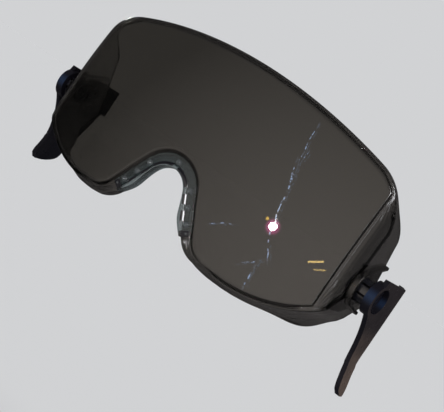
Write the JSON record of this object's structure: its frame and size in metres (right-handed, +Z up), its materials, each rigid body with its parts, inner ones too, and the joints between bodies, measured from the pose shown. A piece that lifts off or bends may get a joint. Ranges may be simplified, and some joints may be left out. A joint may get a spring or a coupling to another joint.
{
  "type": "helmet safety glasses",
  "caption": "Smoked one-piece wrap eyewear for a helmet, with a soft nose bridge and two black arms that tilt on ratchet bushings.",
  "frame": {"origin": "middle of the tilt axis, half-way between the two arms", "axes": "+X along the tilt axis to the viewer's right, +Y back towards the wearer's face, +Z up"},
  "size_m": [0.1926, 0.0574, 0.0914],
  "materials": {
    "smoke_lens": "polished smoke tint",
    "clear_soft": "clear, slightly frosted",
    "bushing_plastic": "satin dark smoke",
    "black_plastic": "moulded black, semi-gloss"
  },
  "bodies": {
    "visor": {"lens_shell": "smoke_lens", "nose_bridge": "clear_soft", "bridge_studs": "clear_soft", "left_bushing": "bushing_plastic", "right_bushing": "bushing_plastic", "left_pivot_pin": "black_plastic", "right_pivot_pin": "black_plastic"},
    "left_arm": {"left_arm": "black_plastic"},
    "right_arm": {"right_arm": "black_plastic"}
  },
  "joints": [
    {"name": "left_arm_tilt", "type": "hinge", "parent": "visor", "child": "left_arm", "pos_m": [-0.089, 0, 0], "axis": [1, 0, 0], "range_deg": [-24, 24]},
    {"name": "right_arm_tilt", "type": "hinge", "parent": "visor", "child": "right_arm", "pos_m": [0.089, 0, 0], "axis": [1, 0, 0], "range_deg": [-24, 24]}
  ]
}
